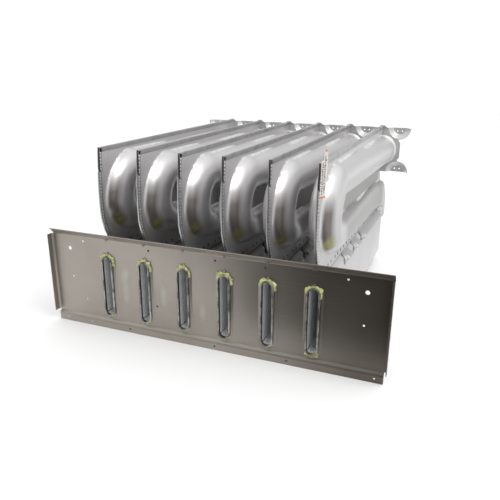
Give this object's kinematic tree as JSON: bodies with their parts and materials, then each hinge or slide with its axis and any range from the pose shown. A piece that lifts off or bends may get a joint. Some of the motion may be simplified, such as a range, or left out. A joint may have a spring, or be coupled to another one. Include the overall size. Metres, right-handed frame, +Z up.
{
  "type": "furnace heat exchanger",
  "caption": "Clamshell gas furnace heat exchanger with stamped serpentine cells between a slotted front coupling panel and a rear burner inlet plate.",
  "frame": {"origin": "centre of the row of outlet slots, on the front face of the coupling panel", "axes": "+X to the right along the panel, +Y back along the cells towards the burner inlets, +Z up"},
  "size_m": [0.622, 0.614, 0.352],
  "materials": {
    "cell_steel": "satin aluminised sheet",
    "panel_steel": "satin, slightly brown",
    "plate_steel": "satin aluminised sheet",
    "sealant": "matt dried paste",
    "label": "matt"
  },
  "bodies": {
    "root": {"cell_1_left_shell": "cell_steel", "cell_1_right_shell": "cell_steel", "cell_2_left_shell": "cell_steel", "cell_2_right_shell": "cell_steel", "cell_3_left_shell": "cell_steel", "cell_3_right_shell": "cell_steel", "cell_4_left_shell": "cell_steel", "cell_4_right_shell": "cell_steel", "cell_5_left_shell": "cell_steel", "cell_5_right_shell": "cell_steel", "cell_6_left_shell": "cell_steel", "cell_6_right_shell": "cell_steel", "coupling_panel": "panel_steel", "inlet_plate": "plate_steel", "slot_1_sealant": "sealant", "slot_2_sealant": "sealant", "slot_3_sealant": "sealant", "slot_4_sealant": "sealant", "slot_5_sealant": "sealant", "slot_6_sealant": "sealant", "label_strip": "label"}
  },
  "joints": []
}
